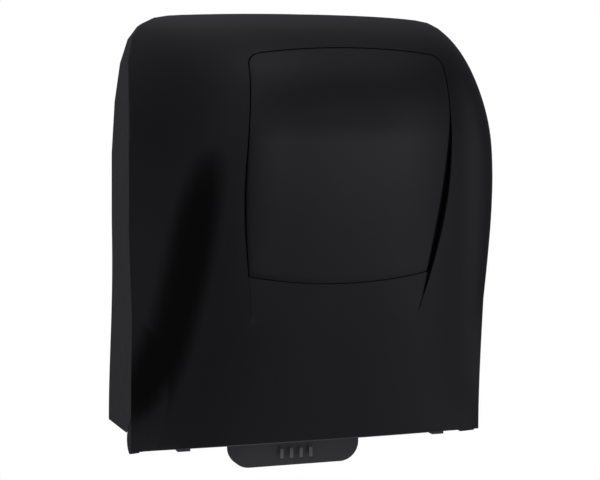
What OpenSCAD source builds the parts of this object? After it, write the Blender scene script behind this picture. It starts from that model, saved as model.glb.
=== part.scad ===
// Auto-cut roll towel dispenser for a wall: rear housing, hinged front cover with an inset panel,
// feed drum with a geared knife, press roller, push lever and roll holder.
// Millimetres. X to the viewer's right, Y into the wall, Z up. The back face lies in y = 0,
// so the depth from the wall is -y, and z = 0 is half the height of the case.

/* [Case] */
// width at the widest section
body_w = 332; // [326:1:338]
// height of the case without the lever
body_h = 371; // [365:1:377]
// depth of the front at its fullest point
body_d = 216; // [213:1:220]
// width across the lower edge
bottom_w = 315; // [312:1:319]
// depth of the front at its lower edge
bottom_d = 124; // [122:1:127]
// thickness of the cover shell
wall = 3.4; // [3.2:0.1:3.8]
// thickness of the housing's back and sides
back_t = 3; // [2.6:0.1:3.4]
// gap between cover and housing along the parting line
part_gap = 0.8; // [0.5:0.1:1.2]

/* [Front panel] */
// height of the panel's upper edge above the middle
panel_top_z = 151.4; // [148:0.1:153]
// height of the panel's lower edge above the middle
panel_low_z = -41.8; // [-46:0.1:-38]
// width of the centre field at its widest
panel_w = 175; // [171:1:179]
// thickness of the panel
panel_t = 2; // [1.8:0.1:2.2]
// deepest step between the centre field and the sides
step_h = 4.5; // [3.5:0.5:6]

/* [Wall mount] */
// distance between the screw holes sideways
mount_x = 140; // [130:1:150]
// distance between the screw holes up and down
mount_z = 150; // [140:1:155]
// radius of a wall screw hole
mount_r = 3; // [2.6:0.1:3.2]

/* [Feed drum] */
// room on each side between the frames and the widest part of the case
side_room = 54; // [53:0.5:55]
// radius of the feed drum
drum_r = 44; // [43.6:0.1:44.3]
// radius of the drum's journals
journal_r = 6; // [5.6:0.1:6.4]
// play of every turning fit, on the radius
fit_play = 0.05; // [0.03:0.01:0.08]
// radius of the press rollers
nip_r = 10; // [9.6:0.1:10.4]
// distance between press rollers and drum
nip_gap = 0.4; // [0.3:0.1:0.6]
// tooth module of all gears
gear_m = 1.5; // [1.5:0.1:1.5]

/* [Lever] */
// width of the push lever
lever_w = 123; // [117:1:127]
// depth of the lever's front face
lever_d = 58; // [57.5:0.1:58.5]
// how far the lever reaches below the case
lever_drop = 35; // [32:1:38]
// radius of the lever shaft
lever_r = 4; // [3.8:0.1:4.2]

/* [Roll holder] */
// distance between the two roll hubs' flanges
hub_span = 207; // [205:0.5:208]
// radius of a roll hub's plug
hub_r = 17.5; // [16.5:0.1:18.5]
// depth of the roll axis
roll_d = 100; // [98:0.5:101]

/* [Hinge and lock] */
// radius of the cover's hinge pins
pin_r = 3; // [2.8:0.1:3.2]
// radius of the lock barrel
lock_r = 7; // [6.6:0.1:7.2]

/* [Hidden] */
$fn = 48;
z_top = body_h / 2;
z_bot = -body_h / 2;
seam = 0.4;
// shape of the front: fullest height, widest height, start of the upper corners
belly_z = 85.4;
wide_z = 50;
corner_z = 1;
crown = 4.5;
// depth of the parting line below, in the middle and on top
part_low = 103;
part_mid = 119.6;
part_top = 56;
part_bend = 1.5;
// centre field: half width at the foot and how far it draws in at the top, bow and corners of the panel,
// height, reach, slope and inward run of the step
field_foot = 60;
field_draw = 5;
panel_drop = 3.9;
panel_rise = 7.5;
panel_corner = 10;
step_z = 15;
step_half = 92;
step_slope = 0.3;
dip_bend = 2;
pocket = panel_t + 0.2;
// housing
house_bot = z_bot + 6;
notch_z = z_bot + 37.5;
notch_d = 66;
flange_d = 28;
boss_d = 9;
boss_r = 6;
screw_r = 1.6;
// cover hinge
hinge_d = 78;
hinge_z = z_bot + 0.5;
tab_r = 11;
tab_x = bottom_w / 2 - 0.1;
bracket_t = 7;
bracket_x = tab_x - 18.4;
tab_t = 3;
// drum
drum_d = 82;
drum_z = z_bot + 77.5;
frame_x = min(body_w / 2 - side_room, bottom_w / 2 - 45.5);
frame_t = 4;
cap_t = 4;
drum_half = frame_x - cap_t - 9;
frame_front = bottom_d + 5;
// knife gears: fixed gear and knife pinion are alike
knife_n = 22;
knife_c = knife_n * gear_m;
knife_at = 200;
knife_reach = 16;
gear_back = 0.24;
gear_x = frame_x - 6.5;
gear_t = 6;
// lever gears: toothed sector around the lever shaft, pinion on the drum's journal
pinion_n = 20;
sector_n = 104;
lever_c = (sector_n - pinion_n) * gear_m / 2;
lever_ax_d = lever_d - 4;
lever_ax_z = drum_z - sqrt(pow(lever_c, 2) - pow(drum_d - lever_ax_d, 2));
mesh_at = atan2(drum_z - lever_ax_z, drum_d - lever_ax_d);
drive_x = frame_x + frame_t + 2.5;
drive_t = 8;
// drive spring and its crank
crank_r = 17;
crank_x = drive_x + drive_t + 1.5;
post_d = 96;
post_z = drum_z + 76;
post_r = 3;
crank_at = atan2(post_z - drum_z, post_d - drum_d);
spring_x = crank_x + 10;
post_end = spring_x + 5;
box_t = 2;
wire_r = 0.7;
// press roller
nip_at = 125;
nip_c = drum_r + nip_gap + nip_r;
nip_d = drum_d + nip_c * cos(nip_at);
nip_z = drum_z + nip_c * sin(nip_at);
nip_axle_r = 2.5;
nip_rod_r = 4;
nip_rod_d = 22;
nip_rod_z = drum_z + 60;
nip_arm_x = drum_half - 5;
// tie rods, each as depth and height
tie_at = [[24, drum_z - 44], [frame_front - 11, drum_z + 44]];
// roll holder
roll_z = z_top - 127.5;
arm_t = 5;
arm_x = hub_span / 2 + 3.2;
arm_pin_x = arm_x + arm_t / 2 + 4.5;
arm_pin_d = 20;
stub_r = 5;
// lock
keep_d = part_top - 10.5;
lock_d = keep_d + 34;
lock_top = skin_z(lock_d) - 0.9;
nut_t = 5;
lock_low = z_top - 35;
tongue_z = lock_low - 7;
keep_r = 2.5;
keep_x = 7;
mount_mid = 55;
// screws: side of the case, height, and what they hold
frame_screw_x = frame_x + 11;
frame_screw_z = [drum_z + 44, drum_z - 46];
arm_screw_x = arm_pin_x + 13;
arm_screw_z = [roll_z - 20, roll_z + 20];
hinge_screw_x = bracket_x - 4;
hinge_screw_z = [z_bot + 16, z_bot + 32];

// the front's shape: depth, half width and parting depth over the height
function clip01(t) = min(1, max(0, t));
function ease(t) = t * t * (3 - 2 * t);
function three(lo, mid, hi, z) = z < wide_z
    ? mid + (lo - mid) * ease(clip01((wide_z - z) / (wide_z - z_bot)))
    : mid + (hi - mid) * ease(clip01((z - wide_z) / (z_top - wide_z)));
function front_d(z) = z < belly_z
    ? body_d - (body_d - bottom_d) * pow(clip01((belly_z - z) / (belly_z - z_bot)), 1.39)
    : part_top + (body_d - part_top) * pow(1 - pow(clip01((z - belly_z) / (z_top - belly_z)), 3.58), 1 / 1.83);
function skin_z(d) = belly_z
    + (z_top - belly_z) * pow(1 - pow(clip01((d - part_top) / (body_d - part_top)), 1.83), 1 / 3.58);
function half_w(z) = three(bottom_w / 2, body_w / 2, body_w / 2, z);
function part_d(z) = z < wide_z ? three(part_low, part_mid, part_top, z)
    : part_mid + (part_top - part_mid) * ease(pow(clip01((z - wide_z) / (z_top - wide_z)), part_bend));
function corner_k(z) = pow(1 - pow(clip01((z - corner_z) / (z_top - corner_z)), 2.2), 1 / 14);
function rim_z(u) = corner_z + (z_top - corner_z) * pow(1 - pow(min(1, abs(u)), 14), 1 / 2.2);
function low_z(u) = z_bot - 3.5 * pow(abs(u), 4);
function skin_s(x, z, rim) = rim ? 1 : min(1, abs(x) / half_w(z) / max(0.001, corner_k(z)));
function skin_d(x, z, rim) = front_d(z) - (front_d(z) - part_d(z)) * pow(skin_s(x, z, rim), 3.59);
function crowned(x, z) = z - crown * pow(x / half_w(z), 2) * max(0, z / z_top);

// the centre field: half width, depth of the step along its sides, width of the step's slope
function corner_cut(k) = panel_corner * (1 - sqrt(1 - k * k));
function field_w(z) = three(field_foot, panel_w / 2, panel_w / 2 - field_draw, z)
    - corner_cut(clip01((z - panel_top_z + panel_drop + panel_corner) / panel_corner));
function step_d(z) = abs(z - step_z) < step_half ? step_h * pow(cos(90 * (z - step_z) / step_half), 1.25) : 0;
function slope_w(z) = seam + step_slope * step_d(z);

// the front as a grid: columns [side, place], rows [band, place]
n_flank = 10;
n_mid = 14;
n_low = 13;
n_field = 16;
n_high = 13;
cols = concat([for (i = [0 : n_flank]) [-1, 1 - i / n_flank]],
    [for (i = [0 : n_mid]) [0, -1 + 2 * i / n_mid]],
    [for (i = [0 : n_flank]) [1, i / n_flank]]);
rows = concat([for (i = [0 : n_low]) [0, i / n_low]],
    [for (i = [0 : n_field]) [1, i / n_field]],
    [for (i = [0 : n_high]) [2, i / n_high]]);
top_w = field_w(panel_top_z);
function over(from, side, t) = side == 0 ? abs(t) * from : from + (1 - from) * sin(90 * t);
function field_low(side, t) = panel_low_z + panel_rise * (side == 0 ? t * t : 1);
rim_share = top_w / (body_w / 2);
function rim_of(side, t) = rim_z(over(rim_share, side, t));
field_share = (panel_top_z - panel_drop - field_low(1, 0)) / (rim_of(1, 0) - field_low(1, 0));
function field_top(side, t) = side == 0 ? panel_top_z - panel_drop * t * t
    : field_low(1, 0) + (rim_of(side, t) - field_low(1, 0)) * field_share;
function row_z(row, col) = let (s = col[0], t = col[1], v = row[1], a = field_low(s, t),
    b = field_top(s, t), low = low_z(over(0.38, s, t)))
    row[0] == 0 ? low + (a - seam - low) * v
    : row[0] == 1 ? a + (b - a) * (1 - pow(1 - v, 1.5))
    : b + seam + (rim_of(s, t) - b - seam) * (1 - pow(1 - v, 2));
function col_x(col, z, band) = let (w = band == 2 ? top_w : field_w(z), e = w + slope_w(z))
    col[0] == 0 ? col[1] * w : col[0] * (e + (half_w(z) - e) * sin(90 * col[1]));
function is_rim(row) = row[0] == 2 && row[1] == 1;
function sunk(row, col, z) = col[0] != 0 ? 0 : step_d(z) * pow(abs(col[1]), dip_bend);
function outer_pt(row, col) = let (z = row_z(row, col), x = col_x(col, z, row[0]),
    d = skin_d(x, z, is_rim(row)) - sunk(row, col, z) - (col[0] == 0 && row[0] == 1 ? pocket : 0))
    [x, -d, crowned(x, z)];
function backing(row, col, z, x) = wall + (col[0] == 0 ? sunk(row, col, z)
    : step_d(z) * (1 - ease(clip01((abs(x) - field_w(z) - slope_w(z) - 3) / 17))));
function inner_pt(row, col) = let (z = row_z(row, col), x = col_x(col, z, row[0]),
    low = low_z(over(0.38, col[0], col[1])), part = part_d(z), full = max(0.01, front_d(z) - part),
    d = part + (skin_d(x, z, is_rim(row)) - part) * max(0, 1 - backing(row, col, z, x) / full))
    [x * (1 - wall / half_w(z)), -d, low + (crowned(x, z) - low) * (1 - wall / (z_top - low))];

// closed shell between two grids of nr rows and nc columns
function grid_faces(nr, nc) = let (n = nr * nc) concat(
    [for (r = [0 : nr - 2], c = [0 : nc - 2]) each [
        [r * nc + c, (r + 1) * nc + c, (r + 1) * nc + c + 1],
        [r * nc + c, (r + 1) * nc + c + 1, r * nc + c + 1],
        [n + r * nc + c, n + (r + 1) * nc + c + 1, n + (r + 1) * nc + c],
        [n + r * nc + c, n + r * nc + c + 1, n + (r + 1) * nc + c + 1]]],
    [for (c = [0 : nc - 2], t = [(nr - 1) * nc]) each [
        [c, c + 1, n + c + 1],
        [c, n + c + 1, n + c],
        [t + c + 1, t + c, n + t + c],
        [t + c + 1, n + t + c, n + t + c + 1]]],
    [for (r = [0 : nr - 2], e = [nc - 1]) each [
        [(r + 1) * nc, r * nc, n + r * nc],
        [(r + 1) * nc, n + r * nc, n + (r + 1) * nc],
        [r * nc + e, (r + 1) * nc + e, n + (r + 1) * nc + e],
        [r * nc + e, n + (r + 1) * nc + e, n + r * nc + e]]]);

// drawing in depth and height, as a plate from x down to x - t
module across(x, t) {
    translate([x, 0, 0]) rotate([90, 0, -90]) linear_extrude(height = t) children();
}

// round bar along X
module rod(x0, x1, d, z, r) {
    translate([x0, -d, z]) rotate([0, 90, 0]) cylinder(h = x1 - x0, r = r);
}

// box between two corners, the second and third values being depth and height
module block(a, b) {
    translate([a[0], -b[1], a[2]]) cube([b[0] - a[0], b[1] - a[1], b[2] - a[2]]);
}

// screw or hole pointing at the wall, from depth d1 in to depth d0
module peg(x, z, d0, d1, r) {
    translate([x, -d0, z]) rotate([90, 0, 0]) cylinder(h = d1 - d0, r = r);
}

// involute teeth: half the angle of a tooth at a radius
function inv_deg(a) = tan(a) * 180 / PI - a;
function flank_deg(n, r) = let (rb = n * gear_m / 2 * cos(20))
    inv_deg(20) - (r > rb ? inv_deg(acos(rb / r)) : 0);
function back_deg(n) = gear_back / (n * gear_m / 2) * 90 / PI;
function polar(r, a) = [r * cos(a), r * sin(a)];

// outside gear, one tooth at angle a0
module gear2d(n, a0) {
    rp = n * gear_m / 2;
    rr = rp - 1.25 * gear_m;
    rt = rp + gear_m * 0.95;
    rs = [for (i = [0 : 4]) rr + (rt - rr) * i / 4];
    polygon([for (k = [0 : n - 1]) each concat(
        [for (i = [0 : 4]) polar(rs[i], a0 + 360 * k / n - 90 / n + back_deg(n) - flank_deg(n, rs[i]))],
        [for (i = [4 : -1 : 0]) polar(rs[i], a0 + 360 * k / n + 90 / n - back_deg(n) + flank_deg(n, rs[i]))])]);
}

// round wire swept along points, six sides
function unit(v) = v / norm(v);
module wire(path, r) {
    n = len(path);
    tang = [for (i = [0 : n - 1]) unit(path[min(n - 1, i + 1)] - path[max(0, i - 1)])];
    ref = [for (i = [0 : n - 1]) abs(tang[i][0]) < 0.75 ? [1, 0, 0] : [0, 0, 1]];
    side = [for (i = [0 : n - 1]) unit(cross(tang[i], ref[i]))];
    up = [for (i = [0 : n - 1]) cross(side[i], tang[i])];
    pts = [for (i = [0 : n - 1], k = [0 : 5]) path[i] + r * (cos(60 * k) * side[i] + sin(60 * k) * up[i])];
    polyhedron(pts, concat(
        [for (i = [0 : n - 2], k = [0 : 5]) each [
            [i * 6 + k, i * 6 + (k + 1) % 6, i * 6 + 6 + (k + 1) % 6],
            [i * 6 + k, i * 6 + 6 + (k + 1) % 6, i * 6 + 6 + k]]],
        [[5, 4, 3, 2, 1, 0], [for (k = [0 : 5]) (n - 1) * 6 + k]]));
}

// rear housing: moulded tray with back, sides and a narrow floor, screw bosses inside
function back_k(z) = 0.937 + 0.0757 * pow(ease(clip01((wide_z - z) / (wide_z - z_bot))), 1.6);
function rim_d(z) = z > notch_z ? part_d(z) - part_gap
    : part_d(notch_z) - part_gap - (notch_z - z) * (part_d(notch_z) - part_gap - notch_d) / (notch_z - house_bot);
tray_half = concat([[-0.5, house_bot, flange_d], [-0.93, house_bot, flange_d], [-0.965, house_bot, notch_d - 16]],
    [for (i = [0 : 5]) let (z = house_bot + (notch_z - house_bot) * i / 5) [-1, z, rim_d(z)]],
    [for (i = [1 : 9]) let (z = notch_z + (corner_z - notch_z) * i / 9) [-1, z, rim_d(z)]],
    [for (i = [1 : n_flank]) let (u = over(rim_share, 1, 1 - i / n_flank), z = rim_z(u)) [-u, z, rim_d(z)]],
    [for (i = [1 : 3]) let (u = rim_share * (1 - i / 4), z = rim_z(u)) [-u, z, rim_d(z)]]);
tray_n = len(tray_half);
tray = concat(tray_half, [for (i = [tray_n - 1 : -1 : 0]) [-tray_half[i][0], tray_half[i][1], tray_half[i][2]]]);
function tray_in(x, z) = [x * (1 - back_t / half_w(z)),
    z > corner_z ? corner_z + (z - corner_z) * (1 - back_t / (z_top - corner_z))
    : max(z, house_bot + back_t)];
module tray_shell() {
    m = 2 * tray_n;
    chain = [3, 2, 1, 0, m - 1, m - 2, m - 3, m - 4, m - 5];
    at_back = [for (p = tray) let (x = p[0] * half_w(p[1]) * back_k(p[1])) [x, 0, crowned(x, p[1])]];
    at_rim = [for (p = tray) let (x = p[0] * half_w(p[1])) [x, -p[2], crowned(x, p[1])]];
    in_rim = [for (i = [0 : m - 1]) let (q = tray_in(at_rim[i][0], at_rim[i][2])) [q[0], at_rim[i][1], q[1]]];
    in_back = [for (i = [0 : m - 1]) let (q = tray_in(at_back[i][0], at_back[i][2])) [q[0], -back_t, q[1]]];
    polyhedron(concat(at_back, at_rim, in_rim, in_back), concat(
        [for (k = [0 : 2], i = [0 : m - 1], j = [(i + 1) % m]) each [
            [k * m + i, k * m + j, k * m + m + j],
            [k * m + i, k * m + m + j, k * m + m + i]]],
        [for (i = [4 : tray_n - 2]) each [
            [i, m - 1 - i, m - 2 - i],
            [i, m - 2 - i, i + 1],
            [3 * m + i, 3 * m + m - 2 - i, 3 * m + m - 1 - i],
            [3 * m + i, 3 * m + i + 1, 3 * m + m - 2 - i]]],
        [for (q = [0 : len(chain) - 2]) each [
            [4, chain[q], chain[q + 1]],
            [3 * m + 4, 3 * m + chain[q + 1], 3 * m + chain[q]]]]));
}
module all_screws(x_sign) {
    for (z = frame_screw_z)
        translate([x_sign * frame_screw_x, 0, z]) children();
    for (z = arm_screw_z)
        translate([x_sign * arm_screw_x, 0, z]) children();
    for (z = hinge_screw_z)
        translate([x_sign * hinge_screw_x, 0, z]) children();
}
module rear_housing() {
    color([0.03, 0.03, 0.032]) difference() {
        union() {
            tray_shell();
            for (s = [-1, 1])
                all_screws(s) peg(0, 0, back_t - 1, boss_d, boss_r);
        }
        for (sx = [-1, 1], sz = [-1, 1])
            peg(sx * mount_x / 2, mount_mid + sz * mount_z / 2, -1, back_t + 1, mount_r);
        for (s = [-1, 1])
            all_screws(s) peg(0, 0, 2, boss_d + 1, screw_r + fit_play);
    }
}

// side frames of the mechanism: moulded plates with a screw foot at the wall
toe_d = [bottom_d - 20, bottom_d - 12];
toe_z = z_bot - 4;
frame_low = drum_z - 70;
frame_outline = [[boss_d, drum_z - 64], [boss_d, drum_z + 72], [34, drum_z + 72], [70, drum_z + 64],
    [frame_front - 7, drum_z + 54], [frame_front, drum_z + 40], [frame_front, drum_z - 20],
    [toe_d[1] + 1, frame_low + 2], [toe_d[1], toe_z], [toe_d[0], toe_z], [toe_d[0] - 4, frame_low], [40, frame_low]];
module side_frame(s) {
    x1 = s > 0 ? frame_x + frame_t : -frame_x;
    foot = s > 0 ? [frame_x, frame_x + 18] : [-frame_x - 18, -frame_x];
    toe = s > 0 ? [frame_x, frame_x + 11] : [-frame_x - 11, -frame_x];
    difference() {
        union() {
            across(x1, frame_t) polygon(frame_outline);
            block([foot[0], boss_d, drum_z - 64], [foot[1], boss_d + 4, drum_z + 72]);
            block([toe[0], toe_d[0], toe_z], [toe[1], toe_d[1], toe_z + 12]);
        }
        rod(-200, 200, drum_d, drum_z, journal_r + 4);
        rod(-200, 200, lever_ax_d, lever_ax_z, lever_r + fit_play);
        for (t = tie_at)
            rod(-200, 200, t[0], t[1], 2.5 + fit_play);
        rod(-200, 200, nip_rod_d, nip_rod_z, 2.5 + fit_play);
        if (s > 0)
            rod(frame_x - 1, frame_x + frame_t + 1, post_d, post_z, 2 + fit_play);
        for (z = frame_screw_z)
            peg(s * frame_screw_x, z, 0, 30, screw_r + 0.3);
    }
}
module frame_left() {
    color([0.16, 0.17, 0.18]) side_frame(-1);
}
module frame_right() {
    color([0.16, 0.17, 0.18]) side_frame(1);
}

// tie rods with shouldered ends through the frames
module tie_rods() {
    color([0.62, 0.63, 0.64]) for (t = tie_at) {
        rod(-frame_x, frame_x, t[0], t[1], 4);
        rod(-frame_x - frame_t, frame_x + frame_t, t[0], t[1], 2.5);
    }
}

// curved guide behind the drum, hooked over the rear tie rod
guide_r = max(drum_r + 8.5, knife_c + knife_c / 2 + gear_m + 1.5);
module rear_guide() {
    color([0.2, 0.21, 0.22]) {
        translate([-frame_x + 0.2, -drum_d, drum_z]) rotate([90, 0, 90])
            rotate([0, 0, -44]) rotate_extrude(angle = 74) translate([guide_r, 0]) square([2, 2 * frame_x - 0.4]);
        for (x = [-80, 0, 80]) difference() {
            block([x - 4, 15, drum_z - 54], [x + 4, 44, drum_z - 34]);
            rod(x - 10, x + 10, tie_at[0][0], tie_at[0][1], 4 + fit_play);
            rod(x - 10, x + 10, drum_d, drum_z, guide_r + 0.5);
            block([x - 10, 0, drum_z - 70], [x + 10, tie_at[0][0] + 4, drum_z - 44]);
        }
    }
}

// towel outlet: front guide between the frames, above the lower lip of the cover
module outlet_guide() {
    color([0.2, 0.21, 0.22]) across(frame_x - 0.2, 2 * frame_x - 0.4)
        translate([bottom_d, drum_z]) polygon([[0, -30], [2.5, -30], [-2, -52], [-13.5, -75],
            [-20, -76], [-20, -73.6], [-15.2, -72.6], [-4.3, -51]]);
}

// drum bushes, flanged, one in each frame
module drum_bushes() {
    color([0.75, 0.74, 0.7]) difference() {
        union() {
            rod(frame_x, frame_x + frame_t + 1.5, drum_d, drum_z, journal_r + 4 - 0.02);
            rod(frame_x - 2, frame_x, drum_d, drum_z, journal_r + 7);
            rod(-frame_x - frame_t, -frame_x, drum_d, drum_z, journal_r + 4 - 0.02);
            rod(-frame_x - frame_t - 2, -frame_x - frame_t, drum_d, drum_z, journal_r + 7);
        }
        rod(-200, 200, drum_d, drum_z, journal_r + fit_play);
    }
}

// fixed gear around the left journal, standing on the left frame
module fixed_gear() {
    color([0.78, 0.77, 0.72]) difference() {
        union() {
            translate([0, -drum_d, drum_z]) across(-gear_x, gear_t) gear2d(knife_n, knife_at);
            rod(-frame_x, -gear_x - gear_t, drum_d, drum_z, 12.5);
        }
        rod(-200, 200, drum_d, drum_z, journal_r + 0.8);
    }
}

// pivot rod of the press roller arms
module nip_rod() {
    color([0.62, 0.63, 0.64]) {
        rod(-frame_x, frame_x, nip_rod_d, nip_rod_z, nip_rod_r);
        rod(-frame_x - frame_t, frame_x + frame_t, nip_rod_d, nip_rod_z, 2.5);
    }
}

// anchor post of the drive spring on the right frame
module spring_post() {
    color([0.62, 0.63, 0.64]) {
        rod(frame_x - 1, frame_x + frame_t, post_d, post_z, 2);
        rod(frame_x + frame_t, post_end, post_d, post_z, post_r);
        rod(post_end, post_end + 1.5, post_d, post_z, post_r + 1.6);
    }
}

// box over gears and spring on the right frame, wide at the sector and deep at the spring
sector_rp = sector_n * gear_m / 2;
sector_out = sector_rp + 1.25 * gear_m + 5.5;
spoke_at = mesh_at + 44;
box_back = lever_ax_d + sector_out * cos(spoke_at + 4) - 0.6 - box_t;
box_low = lever_ax_z - 7.6 - box_t;
box_in = frame_x + frame_t + 0.2;
module box_wide(g) {
    polygon([[box_back + g, box_low + g], [94 - g / 2, box_low + g], [112 - g, drum_z - 34 + g / 2],
        [126.6 - g, drum_z - 10 + g / 2], [126.6 - g, drum_z + 20 - g / 2], [108 - 0.75 * g, drum_z + 86 - g],
        [40 + g / 2, drum_z + 86 - g], [box_back + g, drum_z + 60 - g / 2]]);
}
module box_deep(g) {
    polygon([[54 + g, drum_z - 29 + g], [98 - g / 2, drum_z - 29 + g], [109 - g, drum_z - 8], [109 - g, drum_z + 86 - g],
        [54 + g, drum_z + 86 - g]]);
}
module drive_cover() {
    wide_x = crank_x + box_t;
    deep_x = post_end + 6;
    color([0.19, 0.2, 0.21]) difference() {
        union() {
            across(wide_x, wide_x - box_in) box_wide(0);
            across(deep_x, deep_x - box_in) box_deep(0);
        }
        across(wide_x - box_t, wide_x) box_wide(box_t);
        across(deep_x - box_t, deep_x) box_deep(box_t);
    }
}

// roll arms: the left one stands fixed, the right one swings out on a pin
module arm_plate(x0, d0) {
    difference() {
        union() {
            translate([0, 0, roll_z]) across(x0 + arm_t, arm_t)
                polygon([[d0, -14], [roll_d - 8, -11], [roll_d - 8, 11], [d0, 14]]);
            rod(x0, x0 + arm_t, roll_d, roll_z, 14);
        }
        rod(x0 - 1, x0 + arm_t + 1, roll_d, roll_z, stub_r + fit_play);
    }
}
module roll_arm_left() {
    color([0.16, 0.17, 0.18]) difference() {
        union() {
            arm_plate(-arm_x - arm_t, boss_d);
            block([-arm_screw_x - 8, boss_d, roll_z - 28], [-arm_x, boss_d + 4, roll_z + 28]);
        }
        for (z = arm_screw_z)
            peg(-arm_screw_x, z, 0, 30, screw_r + 0.3);
    }
}
module roll_arm_right() {
    color([0.16, 0.17, 0.18]) difference() {
        union() {
            arm_plate(arm_x, arm_pin_d);
            translate([arm_pin_x, -arm_pin_d, roll_z - 14]) cylinder(h = 28, r = 7);
            block([arm_x, arm_pin_d - 5, roll_z - 14], [arm_pin_x, arm_pin_d + 5, roll_z + 14]);
        }
        translate([arm_pin_x, -arm_pin_d, roll_z - 20]) cylinder(h = 40, r = 3 + fit_play);
    }
}
module arm_bracket() {
    color([0.2, 0.21, 0.22]) difference() {
        union() {
            block([arm_pin_x - 7, boss_d, roll_z - 28], [arm_screw_x + 8, boss_d + 3, roll_z + 28]);
            for (z = [roll_z - 20.3, roll_z + 14.3]) {
                translate([arm_pin_x, -arm_pin_d, z]) cylinder(h = 6, r = 7);
                block([arm_pin_x - 7, boss_d, z], [arm_pin_x + 7, arm_pin_d, z + 6]);
            }
        }
        translate([arm_pin_x, -arm_pin_d, roll_z - 40]) cylinder(h = 80, r = 3 + fit_play);
        for (z = arm_screw_z)
            peg(arm_screw_x, z, 0, 30, screw_r + 0.3);
    }
}
module arm_pin() {
    color([0.62, 0.63, 0.64]) {
        translate([arm_pin_x, -arm_pin_d, roll_z - 22]) cylinder(h = 44, r = 3);
        translate([arm_pin_x, -arm_pin_d, roll_z + 20.3]) cylinder(h = 2, r = 4.6);
    }
}

// screws of the frames, arms and hinge brackets into the housing's bosses
module one_screw(seat) {
    peg(0, 0, 3, seat, screw_r);
    difference() {
        peg(0, 0, seat, seat + 2.4, 3.2);
        translate([-2.2, -seat - 3, -0.4]) cube([4.4, 1.6, 0.8]);
        translate([-0.4, -seat - 3, -2.2]) cube([0.8, 1.6, 4.4]);
    }
}
module mechanism_screws() {
    color([0.55, 0.56, 0.57]) for (s = [-1, 1]) {
        for (z = frame_screw_z)
            translate([s * frame_screw_x, 0, z]) one_screw(boss_d + 4);
        for (z = arm_screw_z)
            translate([s * arm_screw_x, 0, z]) one_screw(boss_d + (s < 0 ? 4 : 3));
        for (z = hinge_screw_z)
            translate([s * hinge_screw_x, 0, z]) one_screw(boss_d + 3);
    }
}

// lock keeper: post under the housing's top for the lock tongue
module lock_keeper() {
    top = z_top - back_t - 0.15;
    color([0.62, 0.63, 0.64]) {
        block([keep_x - 14, keep_d - 8, top - 2.5], [keep_x + 8, keep_d + 8, top - 0.1]);
        translate([keep_x, -keep_d, tongue_z - 3]) cylinder(h = top - tongue_z + 1, r = keep_r);
    }
}

// hinge brackets under the housing's lower corners, with the cover's pins
module hinge_brackets() {
    color([0.16, 0.17, 0.18]) for (s = [-1, 1]) difference() {
        union() {
            block([s > 0 ? bracket_x - 7.5 : -bracket_x - 10.5, boss_d, z_bot + 10],
                [s > 0 ? bracket_x + 10.5 : -bracket_x + 7.5, boss_d + 3, z_bot + 38]);
            across(s > 0 ? bracket_x + bracket_t : -bracket_x, bracket_t)
                polygon([[boss_d + 2, z_bot + 10], [boss_d + 2, z_bot + 38], [26, z_bot + 38], [70, z_bot + 14],
                    [hinge_d + 4, hinge_z + 7.4], [hinge_d, hinge_z - 8.5], [hinge_d - 7.5, hinge_z - 4],
                    [44, z_bot + 4], [34, z_bot + 10]]);
            rod(s > 0 ? bracket_x : -bracket_x - bracket_t, s > 0 ? bracket_x + bracket_t : -bracket_x,
                hinge_d, hinge_z, 8.5);
        }
        rod(-200, 200, hinge_d, hinge_z, pin_r + fit_play / 2);
        for (z = hinge_screw_z)
            peg(s * hinge_screw_x, z, 0, 60, screw_r + 0.3);
    }
}
module hinge_pins() {
    color([0.62, 0.63, 0.64]) for (s = [-1, 1])
        rod(s > 0 ? bracket_x - 1 : -tab_x + 1.5, s > 0 ? tab_x - 1.5 : -bracket_x + 1, hinge_d, hinge_z, pin_r);
}

// front cover: glossy moulded shell with a shallow pocket for the panel and a hole for the lock
module front_cover() {
    color([0.015, 0.015, 0.016]) difference() {
        polyhedron(concat([for (r = rows, c = cols) outer_pt(r, c)], [for (r = rows, c = cols) inner_pt(r, c)]),
            grid_faces(len(rows), len(cols)));
        translate([0, -lock_d, z_top - 30]) cylinder(h = 60, r = lock_r + 3.3);
    }
}

// front panel: thin curved sheet in the cover's pocket
panel_rows = [for (i = [0 : n_field]) [1, i / n_field]];
panel_cols = [for (i = [0 : n_mid]) [0, -1 + 2 * i / n_mid]];
function panel_pt(row, col, deep) = let (z0 = row_z(row, col), mid = (panel_top_z + panel_low_z) / 2,
    z = mid + (z0 - mid) * (1 - 2 * seam / (panel_top_z - panel_low_z)), x = col_x(col, z0, 1) * (1 - seam / 70),
    d = skin_d(x, z, false) - sunk(row, col, z0) - deep)
    [x, -d, crowned(x, z)];
module front_panel() {
    color([0.02, 0.02, 0.022]) polyhedron(
        concat([for (r = panel_rows, c = panel_cols) panel_pt(r, c, 0)],
            [for (r = panel_rows, c = panel_cols) panel_pt(r, c, panel_t)]),
        grid_faces(len(panel_rows), len(panel_cols)));
}

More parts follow.
